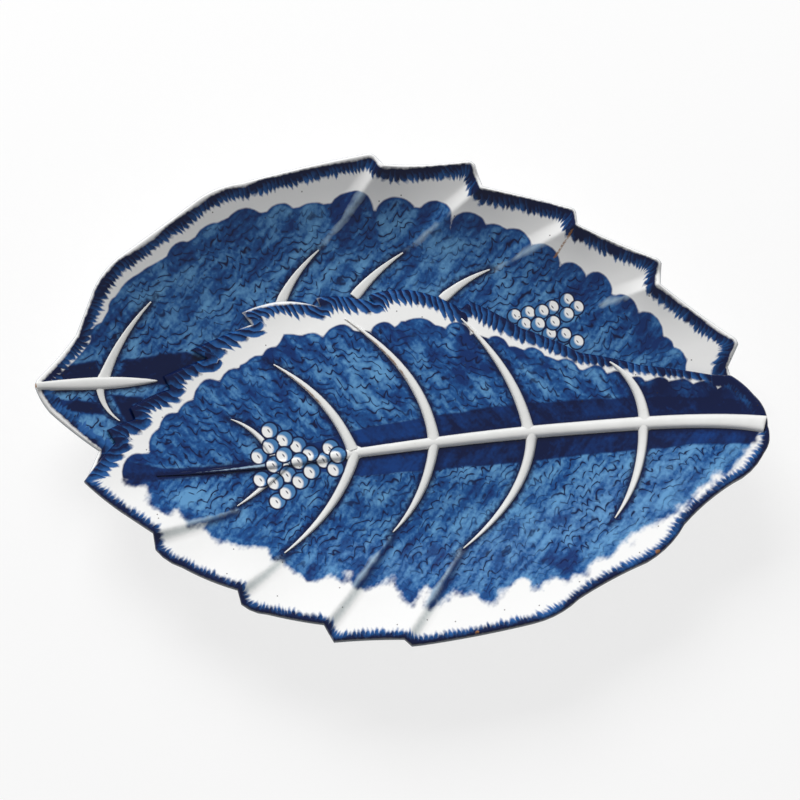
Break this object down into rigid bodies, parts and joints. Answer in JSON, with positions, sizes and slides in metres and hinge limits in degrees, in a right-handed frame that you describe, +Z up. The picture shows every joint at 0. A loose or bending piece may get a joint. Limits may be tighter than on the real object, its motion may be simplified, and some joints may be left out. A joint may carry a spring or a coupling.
{
  "type": "leaf-shaped serving dish",
  "caption": "Shallow porcelain serving dish shaped as overlapping leaves laid head to tail, with raised ribs, a toothed rim and a foot ring.",
  "frame": {"origin": "centre of the bounding box, at the bottom of the foot ring", "axes": "+X along the dish towards the front leaf's stalk end, +Y across it towards the back leaf's free edge, +Z up"},
  "size_m": [0.2905, 0.2, 0.0368],
  "materials": {
    "cobalt_glaze": "gloss",
    "white_glaze": "gloss",
    "biscuit": "matte"
  },
  "bodies": {
    "root": {"back_leaf": "cobalt_glaze", "front_leaf": "cobalt_glaze", "foot_ring": "biscuit", "front_midrib": "white_glaze", "back_midrib": "white_glaze", "front_vein_upper_1": "white_glaze", "front_vein_upper_2": "white_glaze", "front_vein_upper_3": "white_glaze", "front_vein_upper_4": "white_glaze", "front_vein_upper_5": "white_glaze", "front_vein_lower_1": "white_glaze", "front_vein_lower_2": "white_glaze", "front_vein_lower_3": "white_glaze", "front_vein_lower_4": "white_glaze", "front_vein_lower_5": "white_glaze", "back_vein_upper_1": "white_glaze", "back_vein_upper_2": "white_glaze", "back_vein_upper_3": "white_glaze", "back_vein_upper_4": "white_glaze", "back_vein_lower_1": "white_glaze"}
  },
  "joints": []
}
